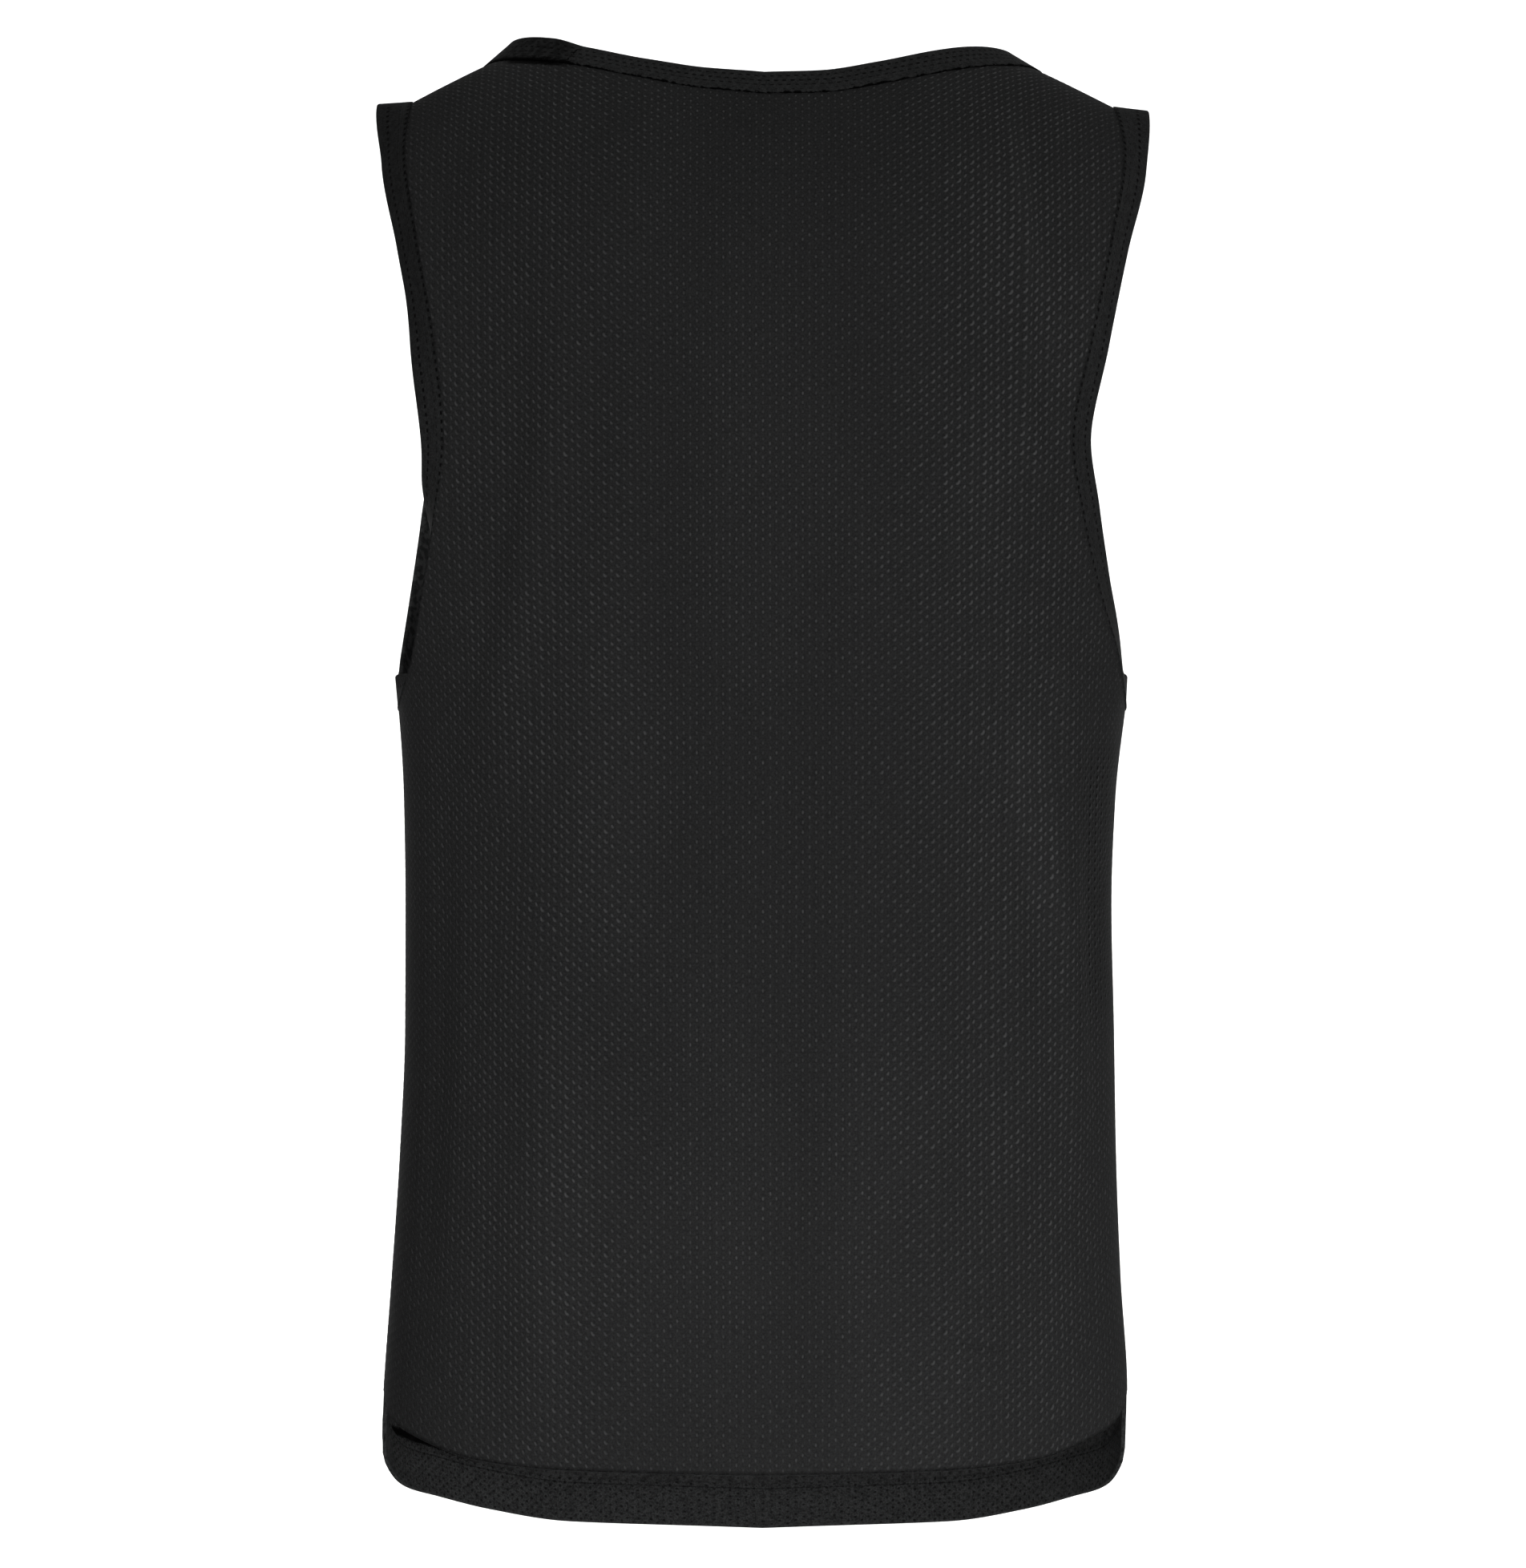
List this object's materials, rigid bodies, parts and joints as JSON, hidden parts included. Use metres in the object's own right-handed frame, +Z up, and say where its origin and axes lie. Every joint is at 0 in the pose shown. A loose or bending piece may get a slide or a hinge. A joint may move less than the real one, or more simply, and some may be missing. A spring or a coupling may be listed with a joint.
{
  "type": "training bib",
  "caption": "Sleeveless over-vest of black knitted mesh with a round neck, deep armholes and a turned-up hem, hollow and filled out as if worn.",
  "frame": {"origin": "midway between the shoulders, level with the wearer's shoulders where they carry the bib", "axes": "+Z up the body; +Y out of the wearer's chest, so the back of the bib faces -Y; -X to the wearer's left"},
  "size_m": [0.3755, 0.2342, 0.7369],
  "materials": {
    "mesh": "knitted eyelet mesh, black, slight sheen",
    "binding": "the same mesh folded double, black, matt"
  },
  "bodies": {
    "root": {"back_panel": "mesh", "front_panel": "mesh", "neck_band": "binding", "armhole_band_left": "binding", "armhole_band_right": "binding"}
  },
  "joints": []
}
